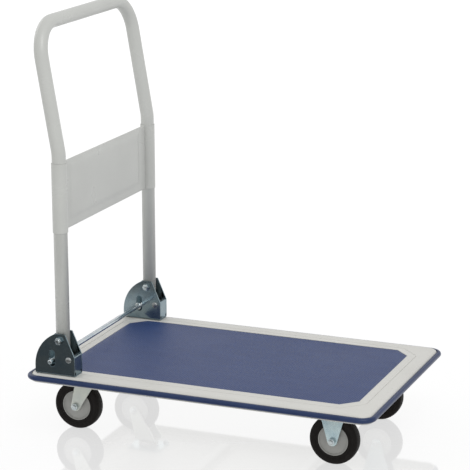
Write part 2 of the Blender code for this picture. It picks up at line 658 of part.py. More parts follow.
def wheel(label, place, parent, mats):
    """A moulded hub that carries a solid rubber tyre and turns on the axle sleeve."""
    carrier = pivot(f"wheel_axis_{label}", place, parent)
    half = TYRE_WIDTH / 2
    inner = HUB_RADIUS + TOUCH_GAP
    tread = WHEEL_RADIUS - TYRE_SHOULDER
    profile = [(-half, inner), (-half, inner + TYRE_LIP)]
    profile += arc((-half + TYRE_SHOULDER, tread), TYRE_SHOULDER, 180, 90, 2)
    profile += arc((half - TYRE_SHOULDER, tread), TYRE_SHOULDER, 90, 0, 2)
    profile += [(half, inner + TYRE_LIP), (half, inner)]
    bm = turned(profile, WHEEL_STEPS, bored=True, axis="Y", flat_below=True)
    finished(f"tyre_{label}", bm, mats["rubber"], carrier)
    barrel = FORK_GAP / 2 - 2 * RUNNING_GAP
    face = half - HUB_DISH
    profile = [(-barrel, HUB_BORE), (-barrel, HUB_BARREL_RADIUS), (-face, HUB_BARREL_RADIUS + HUB_DRAFT),
               (-face, HUB_RADIUS - HUB_DISH), (-half + HUB_EDGE, HUB_RADIUS)]
    profile += [(-along, radius) for along, radius in reversed(profile)]
    bm = turned(profile, HUB_STEPS, bored=True, axis="Y")
    finished(f"hub_{label}", bm, mats["hub_grey"], carrier)


def axle(label, place, parent, sign, mats):
    """The bolt, nut and sleeve that the wheel runs on. The nut is on the outboard leg."""
    outside = FORK_GAP / 2 + FORK_SHEET + TOUCH_GAP
    grip = 2 * outside + NUT_HEIGHT + BOLT_END
    bolt(f"axle_bolt_{label}", -sign * outside, sign, grip, mats, parent, "Y", place)
    nut(f"axle_nut_{label}", sign * outside, sign, mats, parent, "Y", place)
    half = FORK_GAP / 2 - TOUCH_GAP
    bore = BOLT_RADIUS + TOUCH_GAP
    bm = turned([(-half, bore), (-half, SLEEVE_RADIUS), (half, SLEEVE_RADIUS), (half, bore)],
                BOLT_STEPS, bored=True, axis="Y")
    bm.transform(Matrix.Translation(place))
    finished(f"axle_sleeve_{label}", bm, mats["steel"], parent)


def fixed_caster(side, sign, mats):
    label = f"front_{side}"
    centre = (FIXED_CASTER_X, sign * CASTER_Y, 0)
    fork(f"fixed_fork_{side}", centre, PLATE_BOTTOM, PLATE_TOP, FIXED_LEG_HALF, 0.0, mats, plate=True)
    place = (FIXED_CASTER_X, sign * CASTER_Y, WHEEL_RADIUS)
    axle(label, place, None, sign, mats)
    wheel(label, place, None, mats)


def swivel_caster(side, sign, mats):
    label = f"rear_{side}"
    centre = (SWIVEL_CASTER_X, sign * CASTER_Y)
    bore = KINGPIN_RADIUS + TOUCH_GAP
    bm = box((-PLATE_HALF_X, -PLATE_HALF_Y, PLATE_BOTTOM), (PLATE_HALF_X, PLATE_HALF_Y, PLATE_TOP))
    bm.transform(Matrix.Translation((*centre, 0)))
    plate = finished(f"swivel_plate_{side}", bm, mats["zinc"])
    tool = hole(f"plate_hole_{side}", (*centre, PLATE_TOP), bore, 4 * PLATE_SHEET, "Z")
    boolean(plate, tool, "DIFFERENCE")
    low, high, edge = BEARING_BOTTOM, BEARING_TOP, BEARING_EDGE
    bm = turned([(low, BEARING_BORE), (low, BEARING_RADIUS - edge), (low + edge, BEARING_RADIUS),
                 (high - edge, BEARING_RADIUS), (high, BEARING_RADIUS - edge), (high, BEARING_BORE)],
                BEARING_STEPS, bored=True)
    bm.transform(Matrix.Translation((*centre, 0)))
    finished(f"swivel_bearing_{side}", bm, mats["steel"])
    seat = CROWN_BOTTOM - RUNNING_GAP
    stations = [(seat - KINGPIN_HEAD, KINGPIN_HEAD_RADIUS * 0.7),
                (seat - KINGPIN_HEAD / 2, KINGPIN_HEAD_RADIUS), (seat, KINGPIN_HEAD_RADIUS),
                (seat, KINGPIN_RADIUS), (PLATE_TOP - TOUCH_GAP, KINGPIN_RADIUS)]
    bm = turned(stations, PIN_STEPS)
    bm.transform(Matrix.Translation((*centre, 0)))
    finished(f"kingpin_{side}", bm, mats["steel"])
    carrier = pivot(f"swivel_axis_{side}", (*centre, 0))
    body = fork(f"swivel_fork_{side}", (0, 0, 0), CROWN_BOTTOM, CROWN_TOP, SWIVEL_LEG_HALF, -TRAIL,
                mats, carrier)
    tool = hole(f"crown_hole_{side}", (0, 0, CROWN_TOP), KINGPIN_RADIUS + RUNNING_GAP, CUT_PAST, "Z")
    tool.parent = carrier
    boolean(body, tool, "DIFFERENCE")
    place = (-TRAIL, 0, WHEEL_RADIUS)
    axle(label, place, carrier, sign, mats)
    wheel(label, place, carrier, mats)


def main():
    clear_scene()
    mats = make_materials()
    deck_pan(mats)
    deck_mat(mats)
    edge_bumper(mats)
    stiffener("front_stiffener", STIFFENER_X, mats)
    stiffener("rear_stiffener", -STIFFENER_X, mats)
    for side, sign in SIDES.items():
        handle_bracket(side, sign, mats)
        bracket_fasteners(side, sign, mats)
        fixed_caster(side, sign, mats)
        swivel_caster(side, sign, mats)
    lock_bar(mats)
    carrier = pivot("handle_axis", (HANDLE_X, 0, DECK_TOP + PIVOT_HEIGHT))
    handle_tube(carrier, mats)
    handle_panel(carrier, mats)


main()
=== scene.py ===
# Folding platform cart: the looks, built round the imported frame.
import json
import math

import bmesh
import bpy
from mathutils import Matrix, Vector


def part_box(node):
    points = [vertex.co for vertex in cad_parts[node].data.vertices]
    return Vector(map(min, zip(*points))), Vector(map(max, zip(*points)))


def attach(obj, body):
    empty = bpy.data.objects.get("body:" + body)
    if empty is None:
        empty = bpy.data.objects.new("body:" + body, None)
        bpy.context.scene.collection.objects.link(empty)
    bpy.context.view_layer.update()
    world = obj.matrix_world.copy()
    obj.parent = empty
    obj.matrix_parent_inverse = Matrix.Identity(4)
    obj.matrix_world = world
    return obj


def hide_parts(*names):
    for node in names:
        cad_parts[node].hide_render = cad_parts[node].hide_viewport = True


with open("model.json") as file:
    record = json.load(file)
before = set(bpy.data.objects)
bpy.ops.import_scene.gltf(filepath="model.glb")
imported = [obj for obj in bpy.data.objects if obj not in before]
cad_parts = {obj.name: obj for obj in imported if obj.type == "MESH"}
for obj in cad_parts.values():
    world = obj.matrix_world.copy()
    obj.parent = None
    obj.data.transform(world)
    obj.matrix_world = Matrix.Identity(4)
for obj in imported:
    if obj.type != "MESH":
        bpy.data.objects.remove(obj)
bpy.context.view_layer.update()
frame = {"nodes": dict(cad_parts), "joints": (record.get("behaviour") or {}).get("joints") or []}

sides = {"left": 1, "right": -1}
alongX, alongY, alongZ = Vector((1, 0, 0)), Vector((0, 1, 0)), Vector((0, 0, 1))
print("frame loaded:", len(frame["nodes"]), "nodes")


# Meshes

def vertsOf(geom):
    return [item for item in geom if isinstance(item, bmesh.types.BMVert)]


def edgesOf(geom):
    return [item for item in geom if isinstance(item, bmesh.types.BMEdge)]


def facesOf(geom):
    return [item for item in geom if isinstance(item, bmesh.types.BMFace)]


def drawLine(bm, points, close=False):
    # a wire through a few points
    verts = [bm.verts.new(point) for point in points]
    pairs = list(zip(verts, verts[1:]))
    if close:
        pairs.append((verts[-1], verts[0]))
    return verts, [bm.edges.new(pair) for pair in pairs]


def pull(bm, edges, step):
    # extrudes edges along a straight step and returns the far edges
    grown = bmesh.ops.extrude_edge_only(bm, edges=edges)["geom"]
    bmesh.ops.translate(bm, vec=step, verts=vertsOf(grown))
    return edgesOf(grown)


def swing(bm, edges, at, axis, degrees, steps):
    # spins edges about an axis and returns the far edges
    spun = bmesh.ops.spin(bm, geom=edges + list({v for e in edges for v in e.verts}), cent=at, axis=axis,
                          dvec=(0, 0, 0), angle=math.radians(degrees), steps=steps)
    return edgesOf(spun["geom_last"])


def lathe(bm, profile, at, axis, steps=48, close=False):
    # turns a profile of (radius, distance along the axis) right round
    out = alongX if abs(axis.z) > 0.5 or abs(axis.y) > 0.5 else alongZ
    points = [at + out * radius + axis * along for radius, along in profile]
    verts, edges = drawLine(bm, points, close)
    bmesh.ops.spin(bm, geom=verts + edges, cent=at, axis=axis, dvec=(0, 0, 0),
                   angle=2 * math.pi, steps=steps, use_merge=True)


def arcPoints(centre, radius, start, end, steps):
    # points on a round stretch of a profile, with the angles in degrees
    angles = [math.radians(start + (end - start) * i / steps) for i in range(steps + 1)]
    return [(centre[0] + radius * math.cos(a), centre[1] + radius * math.sin(a)) for a in angles]


def fillOutline(bm, edges):
    return facesOf(bmesh.ops.triangle_fill(bm, use_beauty=True, use_dissolve=False, edges=edges)["geom"])


def makePiece(name, bm, finish, body, stands=(), sheet=0, bevel=0, sharpAbove=32, offset=0):
    # the object of a finished bmesh, with its place in its mesh
    bmesh.ops.remove_doubles(bm, verts=bm.verts, dist=2e-6)
    bmesh.ops.recalc_face_normals(bm, faces=bm.faces)
    mesh = bpy.data.meshes.new(name)
    bm.to_mesh(mesh)
    bm.free()
    mesh.materials.append(finish)
    mesh.shade_smooth()
    mesh.set_sharp_from_angle(angle=math.radians(sharpAbove))
    piece = bpy.data.objects.new(name, mesh)
    bpy.context.scene.collection.objects.link(piece)
    if sheet:
        wall = piece.modifiers.new("sheet", "SOLIDIFY")
        wall.thickness, wall.offset, wall.use_even_offset = sheet, offset, True
    if bevel:
        edge = piece.modifiers.new("edge", "BEVEL")
        edge.width, edge.segments, edge.limit_method = bevel, 2, "ANGLE"
        edge.angle_limit, edge.miter_outer = math.radians(sharpAbove), "MITER_ARC"
        shade = piece.modifiers.new("shade", "WEIGHTED_NORMAL")
        shade.keep_sharp = True
    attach(piece, body)
    if stands:
        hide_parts(*stands)
    return piece


# Finishes

class Socket:
    # a shader socket that can be used in sums
    def __init__(self, tree, link=None):
        self.tree, self.link = tree, link

    def make(self, kind, settings, values, out=0):
        node = self.tree.nodes.new(kind)
        for key, value in settings.items():
            setattr(node, key, value)
        for key, value in values.items():
            self.feed(node, key, value)
        return Socket(self.tree, node.outputs[out])

    def feed(self, node, key, value):
        if isinstance(value, Socket):
            self.tree.links.new(value.link, node.inputs[key])
        else:
            node.inputs[key].default_value = value

    def maths(self, operation, *values):
        return self.make("ShaderNodeMath", {"operation": operation}, dict(enumerate(values)))

    def __add__(self, other):
        return self.maths("ADD", self, other)

    def __sub__(self, other):
        return self.maths("SUBTRACT", self, other)

    def __mul__(self, other):
        return self.maths("MULTIPLY", self, other)

    def __rsub__(self, other):
        return self.maths("SUBTRACT", other, self)

    __radd__, __rmul__ = __add__, __mul__

    def moved(self, place=(0, 0, 0), stretch=(1, 1, 1), turn=(0, 0, 0)):
        return self.make("ShaderNodeMapping", {}, {"Vector": self, "Location": place, "Scale": stretch,
                                                   "Rotation": turn})

    def noise(self, scale, detail=3, rough=0.5):
        return self.make("ShaderNodeTexNoise", {}, {"Vector": self, "Scale": scale, "Detail": detail,
                                                    "Roughness": rough}, "Fac")

    def spread(self, low, high, start=0.0, end=1.0):
        # maps low..high onto start..end, held at both ends
        return self.make("ShaderNodeMapRange", {}, {"Value": self, "From Min": low, "From Max": high,
                                                    "To Min": start, "To Max": end})

    def colour(self, first, second):
        # two colours mixed by this value
        mixed = self.make("ShaderNodeMix", {"data_type": "RGBA"}, {0: self}, 2)
        for key, shade in ((6, first), (7, second)):
            self.feed(mixed.link.node, key, shade if isinstance(shade, Socket) else (*shade, 1))
        return mixed

    def bump(self, depth, strength=1.0, under=None):
        values = {"Height": self, "Distance": depth, "Strength": strength}
        if under:
            values["Normal"] = under
        return self.make("ShaderNodeBump", {}, values)

    def fromAxis(self, centre):
        # distance from an axis that runs along Y
        flat = self.moved(place=(-centre.x, 0, -centre.z), stretch=(1, 0, 1))
        return flat.make("ShaderNodeVectorMath", {"operation": "LENGTH"}, {0: flat}, "Value")


def newFinish(name, settings, build):
    # build gets the object's coordinates and returns what varies over the surface
    finish = bpy.data.materials.new(name)
    finish.use_nodes = True
    shader = finish.node_tree.nodes["Principled BSDF"]
    start = Socket(finish.node_tree)
    place = start.make("ShaderNodeTexCoord", {}, {}, "Object")
    for key, value in {**settings, **build(place)}.items():
        start.feed(shader, key, value)
    return finish


def powderCoat(name, shade, rough):
    # sprayed paint: orange peel, faint cloudy gloss and a little dust in the pores
    def build(place):
        peel = place.noise(420, 2, 0.45)
        cloud = place.noise(9, 3)
        dust = place.noise(1500, 2).spread(0.62, 0.75)
        dark = tuple(part * 0.96 for part in shade)
        base = cloud.spread(0.35, 0.65).colour(shade, dark)
        return {"Base Color": (dust * 0.35).colour(base, tuple(part * 0.8 for part in shade)),
                "Roughness": cloud.spread(0.3, 0.7, rough - 0.04, rough + 0.05) + dust * 0.1,
                "Normal": peel.bump(0.00010, 0.22)}
    return newFinish(name, {"IOR": 1.5, "Specular IOR Level": 0.5}, build)


def zincPlate(name, shade, rough, brush=(1, 40, 1), tint=(0.42, 0.50, 0.56)):
    # bright zinc over rolled sheet: drawn streaks, blue passivated clouds and fine pickling pits
    def build(place):
        streak = place.moved(stretch=brush).noise(60, 4, 0.6)
        cloud = place.noise(38, 3, 0.55)
        pits = place.noise(1900, 2).spread(0.66, 0.78)
        base = cloud.spread(0.4, 0.68).colour(shade, tint)
        return {"Base Color": (pits * 0.4).colour(base, tuple(part * 0.5 for part in shade)),
                "Roughness": streak.spread(0.3, 0.7, rough - 0.05, rough + 0.07) + cloud * 0.05 + pits * 0.15,
                "Normal": streak.bump(0.00003, 0.3, place.noise(14, 2).bump(0.0009, 0.25))}
    return newFinish(name, {"Metallic": 1.0}, build)


def matRubber():
    # the sheet on the deck: printed grain between the studs and scuffs where loads slide on
    def build(place):
        grain = place.noise(2600, 3, 0.6)
        rub = place.moved(stretch=(3, 14, 1)).noise(5, 4, 0.6)
        wear = place.noise(3.2, 2).spread(0.35, 0.7)
        base = rub.spread(0.35, 0.7).colour((0.010, 0.030, 0.118), (0.014, 0.038, 0.136))
        return {"Base Color": (grain.spread(0.6, 0.8) * 0.3).colour(base, (0.03, 0.05, 0.15)),
                "Roughness": wear.spread(0, 1, 0.36, 0.42) + grain.spread(0.3, 0.8, 0, 0.05),
                "Normal": grain.bump(0.00005, 0.35)}
    return newFinish("matRubber", {"IOR": 1.5}, build)


def edgeRubber():
    # the extruded strip round the deck, with its draw lines
    def build(place):
        across = place.moved(stretch=(1, 1, 90))
        lines = across.noise(30, 3, 0.6)
        cloud = place.noise(22, 3)
        base = cloud.spread(0.35, 0.7).colour((0.0075, 0.021, 0.075), (0.011, 0.028, 0.092))
        return {"Base Color": base,
                "Roughness": lines.spread(0.3, 0.7, 0.24, 0.36) + cloud * 0.05,
                "Normal": lines.bump(0.00012, 0.4, place.noise(600, 2).bump(0.00005, 0.3))}
    return newFinish("edgeRubber", {"IOR": 1.5, "Specular IOR Level": 0.35}, build)


def tyreRubber(label, centre):
    # black rubber with turned mould lines and dust low in the grain
    def build(place):
        radius = place.fromAxis(centre)
        rings = radius.maths("SINE", radius * 5200)
        dust = place.noise(180, 4, 0.6)
        grain = place.noise(1800, 3, 0.6)
        base = dust.spread(0.45, 0.75).colour((0.0075, 0.0062, 0.0055), (0.014, 0.0125, 0.0115))
        return {"Base Color": base,
                "Roughness": dust.spread(0.3, 0.7, 0.48, 0.60) + grain * 0.08,
                "Normal": rings.bump(0.00005, 0.35, grain.bump(0.00008, 0.4))}
    return newFinish(f"tyreRubber_{label}", {"IOR": 1.5, "Specular IOR Level": 0.12}, build)


def hubPlastic(label, centre):
    # moulded grey nylon: flow marks, a fine spark-eroded skin and faint rings
    def build(place):
        radius = place.fromAxis(centre)
        rings = radius.maths("SINE", radius * 4200)
        flow = place.noise(55, 3, 0.55)
        skin = place.noise(2400, 2)
        base = flow.spread(0.3, 0.72).colour((0.27, 0.27, 0.257), (0.32, 0.32, 0.304))
        return {"Base Color": (skin.spread(0.6, 0.75) * 0.35).colour(base, (0.24, 0.24, 0.232)),
                "Roughness": flow.spread(0.3, 0.7, 0.40, 0.50) + skin * 0.05,
                "Normal": rings.bump(0.00004, 0.3, skin.bump(0.00006, 0.5))}
    return newFinish(f"hubPlastic_{label}", {"IOR": 1.46}, build)


def turnedSteel(name, shade, rough, oil):
    # machined steel: tool marks, a film of oil that darkens it in patches
    def build(place):
        marks = place.moved(stretch=(1, 1, 30)).noise(220, 3, 0.6)
        film = place.noise(90, 4, 0.6)
        base = film.spread(0.45, 0.7).colour(shade, oil)
        return {"Base Color": base,
                "Roughness": marks.spread(0.3, 0.7, rough - 0.05, rough + 0.08) + film * 0.06,
                "Normal": marks.bump(0.00002, 0.4)}
    return newFinish(name, {"Metallic": 1.0}, build)


paint = powderCoat("platformPaint", (0.565, 0.56, 0.53), 0.36)
handlePaint = powderCoat("handlePaint", (0.475, 0.483, 0.462), 0.30)
deckRubber, stripRubber = matRubber(), edgeRubber()
# painted shade: the brackets get the fork zinc with colour and tint darkened to about half, where the real
# plates only look dark from what they mirror
shadedBracketZinc = zincPlate("shadedBracketZinc", (0.25, 0.31, 0.33), 0.13, brush=(1, 1, 30), tint=(0.19, 0.26, 0.30))
forkZinc = zincPlate("forkZinc", (0.48, 0.58, 0.59), 0.24, brush=(30, 1, 1), tint=(0.38, 0.49, 0.53))
dullZinc = zincPlate("dullZinc", (0.60, 0.62, 0.57), 0.46, brush=(20, 1, 1), tint=(0.53, 0.56, 0.53))
barZinc = zincPlate("barZinc", (0.66, 0.70, 0.71), 0.18, brush=(20, 0.4, 20), tint=(0.52, 0.59, 0.64))
boltZinc = zincPlate("boltZinc", (0.52, 0.56, 0.56), 0.20, brush=(4, 4, 4), tint=(0.38, 0.44, 0.48))
rivetSteel = turnedSteel("rivetSteel", (0.36, 0.38, 0.38), 0.26, (0.22, 0.23, 0.23))
raceSteel = turnedSteel("raceSteel", (0.46, 0.46, 0.45), 0.32, (0.20, 0.18, 0.14))
ballSteel = turnedSteel("ballSteel", (0.70, 0.70, 0.70), 0.12, (0.45, 0.40, 0.30))
print("finishes made")


# Deck: pan, mat, bumper and stiffeners

deck = {"corner": 0.0217, "rimRound": 0.009, "sheet": 0.0015, "flatFrom": 0.0135, "lipRise": 0.0008,
        "grooveAt": 0.0175, "grooveHalf": 0.0011, "grooveDeep": 0.0011, "chamfer": 0.030}
panLow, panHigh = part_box("deck_pan")
matLow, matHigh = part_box("deck_mat")


def octagon(bm, out, z):
    # the mat's outline, grown outwards by a distance
    x, y = matHigh.x + out, matHigh.y + out
    cut = deck["chamfer"] + out * (2 - math.sqrt(2))
    points = [(x, cut - y), (x, y - cut), (x - cut, y), (cut - x, y),
              (-x, y - cut), (-x, cut - y), (cut - x, -y), (x - cut, -y)]
    return drawLine(bm, [(*point, z) for point in points], close=True)[1]


def aroundDeck(bm, profile, halfX, halfY, corner, steps=10):
    # sweeps a profile of (outwards, up) round the deck's four sides and corners
    start = Vector((halfX, corner - halfY, 0))
    points = [start + Vector((out, 0, up)) for out, up in profile]
    edges = drawLine(bm, points)[1]
    turn, centre = Matrix.Identity(3), start - alongX * corner
    for length in (halfY, halfX, halfY, halfX):
        run = turn @ alongY * 2 * (length - corner)
        edges = pull(bm, edges, run)
        centre = centre + run
        edges = swing(bm, edges, centre, alongZ, 90, steps)
        turn = Matrix.Rotation(math.radians(90), 3, "Z") @ turn


def deckPan():
    bm = bmesh.new()
    top = panHigh.z
    rim, deep, lip = deck["rimRound"], deck["grooveDeep"], deck["lipRise"]
    profile = [(0, panLow.z), (0, top - rim - 0.001)]
    profile += arcPoints((-rim, top - rim), rim, 0, 90, 7) + [(-deck["flatFrom"], top)]
    aroundDeck(bm, profile, panHigh.x, panHigh.y, deck["corner"])
    bmesh.ops.remove_doubles(bm, verts=bm.verts, dist=1e-6)
    loops = [edge for edge in bm.edges if edge.is_boundary and edge.verts[0].co.z > top - 1e-4]
    groove, half = deck["grooveAt"], deck["grooveHalf"]
    # (outwards from the mat, up): across the groove, over the lip and down into the seat
    steps = [(groove + half, 0), (groove + half * 0.4, -deep), (groove - half * 0.4, -deep),
             (groove - half, 0), (0.0032, 0), (0.0016, lip), (0.0008, lip),
             (0.0003, lip * 0.5), (0.0003, matLow.z - top - 0.0003)]
    for out, up in steps:
        ring = octagon(bm, out, top + up)
        bmesh.ops.bridge_loops(bm, edges=loops + ring)
        loops = ring
    fillOutline(bm, loops)
    return makePiece("deckPan", bm, paint, "platform", ["deck_pan"], sheet=deck["sheet"],
                     bevel=0.00025, offset=-1)


mat = {"stud": 0.005, "gap": 0.0011, "rise": 0.00032}


def deckMat():
    bm = bmesh.new()
    top, reach = matHigh.z - mat["rise"], (matHigh.x + matHigh.y) / math.sqrt(2)
    count = math.ceil(2 * reach / mat["stud"])
    bmesh.ops.create_grid(bm, x_segments=count, y_segments=count, size=count * mat["stud"] / 2,
                          matrix=Matrix.Translation((0, 0, top)) @ Matrix.Rotation(math.radians(45), 4, "Z"))
    cut = (matHigh.x + matHigh.y - deck["chamfer"]) / math.sqrt(2)
    for i in range(8):
        way = Matrix.Rotation(math.radians(45 * i), 3, "Z") @ alongX
        reachOut = (matHigh.x, cut, matHigh.y, cut)[i % 4]
        geom = bm.verts[:] + bm.edges[:] + bm.faces[:]
        bmesh.ops.bisect_plane(bm, geom=geom, plane_co=way * reachOut, plane_no=way, clear_outer=True)
    rim = [edge for edge in bm.edges if edge.is_boundary]
    whole = [face for face in bm.faces if face.calc_area() > 0.98 * mat["stud"] ** 2]
    bmesh.ops.inset_individual(bm, faces=whole, thickness=mat["gap"], depth=mat["rise"],
                               use_even_offset=True)
    side = pull(bm, rim, -alongZ * (top - matLow.z))
    bmesh.ops.holes_fill(bm, edges=side, sides=0)
    return makePiece("deckMat", bm, deckRubber, "platform", ["deck_mat"], sharpAbove=20)


bumper = {"lineDeep": 0.0005, "lineAt": 0.0018}


def edgeBumper():
    bm = bmesh.new()
    low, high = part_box("edge_bumper")
    inner, outer = panHigh.x + 0.0003, high.x
    middle, half, thick = (low.z + high.z) / 2, (high.z - low.z) / 2, outer - inner
    line, deep = bumper["lineAt"], bumper["lineDeep"]
    wide = thick * 0.62
    side = arcPoints((0, 0), 1, -90, 90, 14)
    profile = [(0.0, middle - half), *[(thick - wide + wide * out, middle + half * up) for out, up in side],
               (line + deep, middle + half), (line, middle + half - deep), (line - deep, middle + half),
               (0.0, middle + half)]
    profile = [(out + inner - panHigh.x, up) for out, up in profile]
    profile.append(profile[0])
    aroundDeck(bm, profile, panHigh.x, panHigh.y, deck["corner"], 12)
    return makePiece("edgeBumper", bm, stripRubber, "platform", ["edge_bumper"], sharpAbove=50)


stiffener = {"sheet": 0.0015, "wall": 0.01075, "bend": 0.002, "spot": 0.0030, "spotEvery": 0.045}


def stiffenerPiece(name, node):
    bm = bmesh.new()
    low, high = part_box(node)
    half = stiffener["sheet"] / 2
    centre, top, bottom = (low.x + high.x) / 2, high.z - half, low.z + half
    foot, wall, bend = (high.x - low.x) / 2, stiffener["wall"], stiffener["bend"]
    points = [(-foot, top), (-wall - 0.0012, top), (-wall, top - bend), (-wall, bottom + bend),
              (-wall + bend, bottom)]
    points += [(-x, z) for x, z in reversed(points)]
    _, edges = drawLine(bm, [(centre + x, low.y, z) for x, z in points])
    pull(bm, edges, alongY * (high.y - low.y))
    for side in (-1, 1):
        for i in range(int((high.y - low.y) / stiffener["spotEvery"])):
            y = low.y + (i + 0.5) * stiffener["spotEvery"]
            x = centre + side * (foot + wall) / 2
            bmesh.ops.create_circle(bm, cap_ends=True, segments=16, radius=stiffener["spot"],
                                    matrix=Matrix.Translation((x, y, top - 0.0009)))
    return makePiece(name, bm, paint, "platform", [node], sheet=stiffener["sheet"],
                     bevel=0.0003)


deckPan()
deckMat()
edgeBumper()
stiffenerPiece("frontStiffener", "front_stiffener")
stiffenerPiece("rearStiffener", "rear_stiffener")
print("deck made")


# Handle: bent tube and the panel between its uprights

handle = {"kinkAbove": 0.3785, "kinkRadius": 0.080, "kink": 9.6, "bend": 0.066, "radius": 0.014,
          "wall": 0.0015, "around": 48}
fold = next(Vector(joint["pos_m"]) for joint in frame["joints"] if joint["name"] == "handle_fold")
tubeLow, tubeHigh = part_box("handle_tube")
uprightY = tubeHigh.y - handle["radius"]
kinkAt = fold.z + handle["kinkAbove"]


def handleTube():
    bm = bmesh.new()
    size = handle["radius"]
    kink = math.radians(handle["kink"])
    lean = Vector((-math.sin(kink), 0, math.cos(kink)))
    tangent = handle["kinkRadius"] * math.tan(kink / 2)
    foot = Vector((fold.x, uprightY, tubeLow.z))
    edges = list({edge for vert in bmesh.ops.create_circle(
        bm, cap_ends=False, radius=size, segments=handle["around"], matrix=Matrix.Translation(foot))["verts"]
        for edge in vert.link_edges})
    start = kinkAt - tangent
    edges = pull(bm, edges, alongZ * (start - foot.z))
    pivotPoint = Vector((fold.x - handle["kinkRadius"], uprightY, start))
    edges = swing(bm, edges, pivotPoint, -alongY, handle["kink"], 8)
    reach = (tubeHigh.z - size - kinkAt) / math.cos(kink)
    edges = pull(bm, edges, lean * (reach - handle["bend"] - tangent))
    bendStart = Vector((fold.x, uprightY, kinkAt)) + lean * (reach - handle["bend"])
    turnAxis = Vector((lean.z, 0, -lean.x))
    edges = swing(bm, edges, bendStart - alongY * handle["bend"], turnAxis, 90, 22)
    pull(bm, edges, -alongY * (uprightY - handle["bend"]))
    bmesh.ops.mirror(bm, geom=bm.verts[:] + bm.edges[:] + bm.faces[:], matrix=Matrix.Identity(4),
                     merge_dist=1e-5, axis="Y")
    return makePiece("handleTube", bm, handlePaint, "handle", ["handle_tube"],
                     sheet=handle["wall"], offset=-1)


panel = {"sheet": 0.0015, "hem": 0.00165, "sleeve": 0.0012, "raise": 0.0016, "left": -0.165, "right": 0.157,
         "below": 0.0215, "above": 0.0085, "edge": 0.0142, "roll": 0.0024}


def handlePanel():
    bm = bmesh.new()
    low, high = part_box("handle_panel")
    hem, edge = panel["hem"], uprightY - panel["edge"]
    bottom, top = low.z + panel["roll"], high.z - panel["roll"]
    across = Matrix.Translation((fold.x, 0, (bottom + top) / 2)) @ Matrix.Rotation(math.radians(90), 4, "Y")
    bmesh.ops.create_grid(bm, x_segments=48, y_segments=110, size=1, matrix=across
                          @ Matrix.Diagonal(((top - bottom) / 2, edge, 1, 1)))
    field = [v for v in bm.verts if panel["left"] < v.co.y < panel["right"]
             and low.z + panel["below"] < v.co.z < high.z - panel["above"]]
    bmesh.ops.translate(bm, vec=alongX * panel["raise"], verts=field)
    inside = [v for v in bm.verts if not v.is_boundary]
    for _ in range(5):
        bmesh.ops.smooth_vert(bm, verts=inside, factor=0.5, use_axis_x=True)
    for z, turn in ((bottom, 1), (top, -1)):
        rim = [e for e in bm.edges if e.is_boundary and all(abs(v.co.z - z) < 1e-5 for v in e.verts)]
        swing(bm, rim, Vector((fold.x - hem, 0, z)), alongY * turn, 300, 12)
    for sign in sides.values():
        radius = 0.0155 - panel["sleeve"] / 2 - 0.0001
        ring = bmesh.ops.create_circle(bm, cap_ends=False, radius=radius, segments=48,
                                       matrix=Matrix.Translation((fold.x, sign * uprightY, low.z)))["verts"]
        pull(bm, list({e for v in ring for e in v.link_edges}), alongZ * (high.z - low.z))
    return makePiece("handlePanel", bm, handlePaint, "handle", ["handle_panel"],
                     sheet=panel["sleeve"], bevel=0.0002, sharpAbove=40)


handleTube()
handlePanel()
print("handle made")


# Fasteners

bolts = {"shank": 0.004, "flats": 0.0065, "head": 0.0045, "nut": 0.006, "end": 0.002, "pitch": 0.00125,
         "thread": 0.00035}


def hexBlock(bm, at, axis, flats, height, bore=0):
    # a hexagon with its corners turned off by a cone, plain or bored
    turn = Matrix.Translation(at) @ axis.to_track_quat("Z", "Y").to_matrix().to_4x4()
    base = bmesh.ops.create_circle(bm, cap_ends=not bore, radius=flats, segments=36)["verts"]
    for vert in base:
        angle = math.atan2(vert.co.y, vert.co.x) % math.radians(60) - math.radians(30)
        vert.co *= 1 / math.cos(angle)
    edges = list({e for v in base for e in v.link_edges})
    wall = pull(bm, edges, alongZ * height)
    made = vertsOf(list({v for e in wall for v in e.verts}))
    for vert in made:
        vert.co.z -= (vert.co.xy.length - flats * 0.96) * 0.58
    top = pull(bm, wall, Vector())
    ring = list({v for e in top for v in e.verts})
    for vert in ring:
        vert.co = (*(vert.co.xy.normalized() * flats * 0.95), height)
    made += ring
    if bore:
        inner = pull(bm, top, Vector())
        hole = list({v for e in inner for v in e.verts})
        for vert in hole:
            vert.co = (*(vert.co.xy.normalized() * bore), height)
        low = pull(bm, inner, -alongZ * height)
        made += hole + list({v for e in low for v in e.verts})
        bmesh.ops.bridge_loops(bm, edges=low + edges)
    else:
        bmesh.ops.holes_fill(bm, edges=top, sides=0)
    bmesh.ops.transform(bm, matrix=turn, verts=list(set(base + made)))


def threadProfile(radius, start, end):
    # plain shank, then ridges over the last stretch and a chamfered tip
    points, along = [(radius, 0.0), (radius, start)], start
    while along + bolts["pitch"] < end - 0.0006:
        points += [(radius - bolts["thread"], along + bolts["pitch"] / 2), (radius, along + bolts["pitch"])]
        along += bolts["pitch"]
    return points + [(radius, end - 0.0008), (radius - 0.0008, end), (0, end)]


def boltPiece(name, seat, way, grip, body, stands, nutAt=None, flats=None, thread=0.012):
    # head and threaded shank, with its nut as a piece of its own
    flats = flats or bolts["flats"]
    bm = bmesh.new()
    hexBlock(bm, seat, -way, flats, bolts["head"])
    lathe(bm, threadProfile(bolts["shank"], grip - thread, grip), seat, way, 24)
    makePiece(name, bm, boltZinc, body, [stands], sharpAbove=40)
    if nutAt is None:
        return
    bm = bmesh.new()
    hexBlock(bm, nutAt, way, bolts["flats"], bolts["nut"], bolts["shank"] + 0.0002)
    nutName = name.replace("Bolt", "Nut")
    makePiece(nutName, bm, boltZinc, body, [stands.replace("bolt", "nut")], sharpAbove=40)


# Handle brackets

